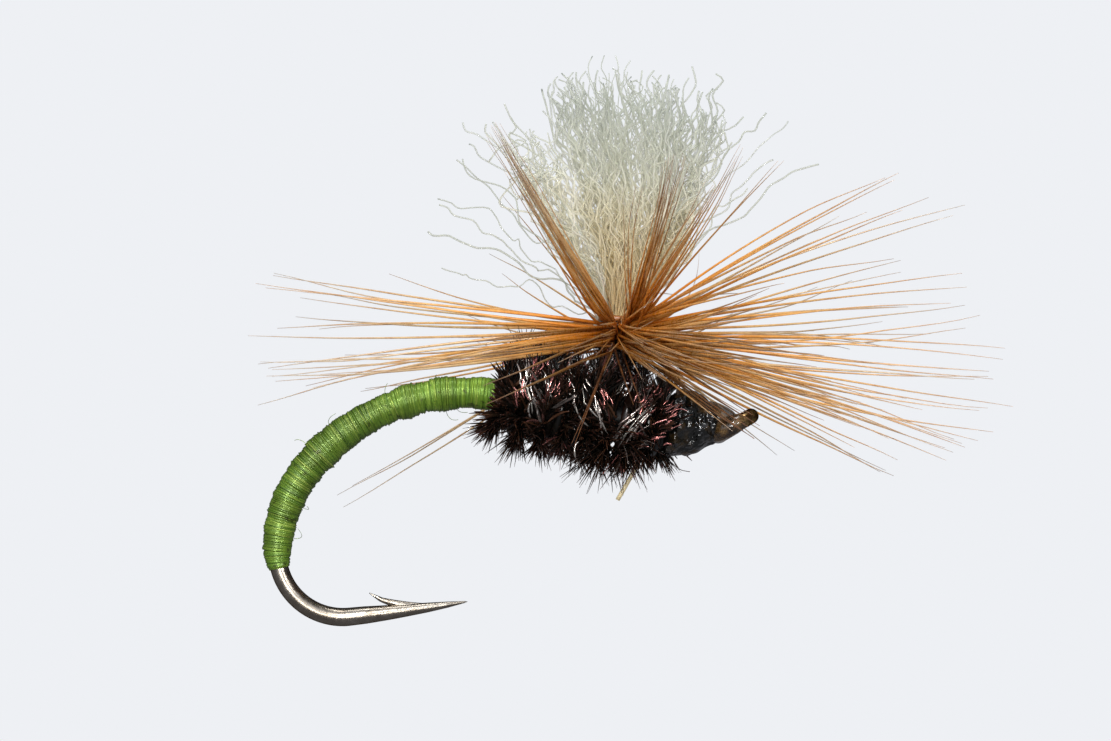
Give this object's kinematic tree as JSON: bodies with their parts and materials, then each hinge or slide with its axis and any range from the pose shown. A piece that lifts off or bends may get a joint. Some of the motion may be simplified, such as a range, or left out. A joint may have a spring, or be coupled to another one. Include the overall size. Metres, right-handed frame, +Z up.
{
  "type": "parachute dry fly",
  "caption": "Parachute dry fly on a curved hook: wound thread abdomen, herl thorax, upright yarn wing post with a hackle wound round its base, and an eye for the tippet.",
  "frame": {"origin": "centre of the hook's eye", "axes": "+X forward, from the bend past the eye; +Z up the wing post; +Y to the fly's left, so the hook lies in the XZ plane"},
  "size_m": [0.0186, 0.0186, 0.0143],
  "materials": {
    "hook_wire": "polished dark nickel",
    "green_thread": "silky wound thread",
    "black_thread": "waxed wound thread",
    "wing_yarn": "crinkled translucent polypropylene fibre",
    "hackle_feather": "glossy ginger feather barbs",
    "peacock_herl": "dark iridescent barbules with copper glints",
    "cement": "clear glossy varnish"
  },
  "bodies": {
    "root": {"hook": "hook_wire", "thread_foundation": "black_thread", "abdomen_underlayer": "green_thread", "abdomen_thread": "green_thread", "yarn_butts": "wing_yarn", "thorax_wraps": "black_thread", "post_wraps": "black_thread", "wing_strand_rear": "wing_yarn", "wing_strand_middle": "wing_yarn", "wing_strand_front": "wing_yarn", "hackle_stem": "hackle_feather", "hackle_butt": "hackle_feather", "hackle_barbs_1": "hackle_feather", "hackle_barbs_2": "hackle_feather", "hackle_barbs_3": "hackle_feather", "hackle_barbs_4": "hackle_feather", "hackle_barbs_5": "hackle_feather", "herl_stem_rear": "peacock_herl", "herl_stem_front": "peacock_herl", "herl_flue_rear": "peacock_herl", "herl_flue_front": "peacock_herl", "head_thread": "black_thread", "whip_finish": "black_thread", "head_cement": "cement"}
  },
  "joints": []
}
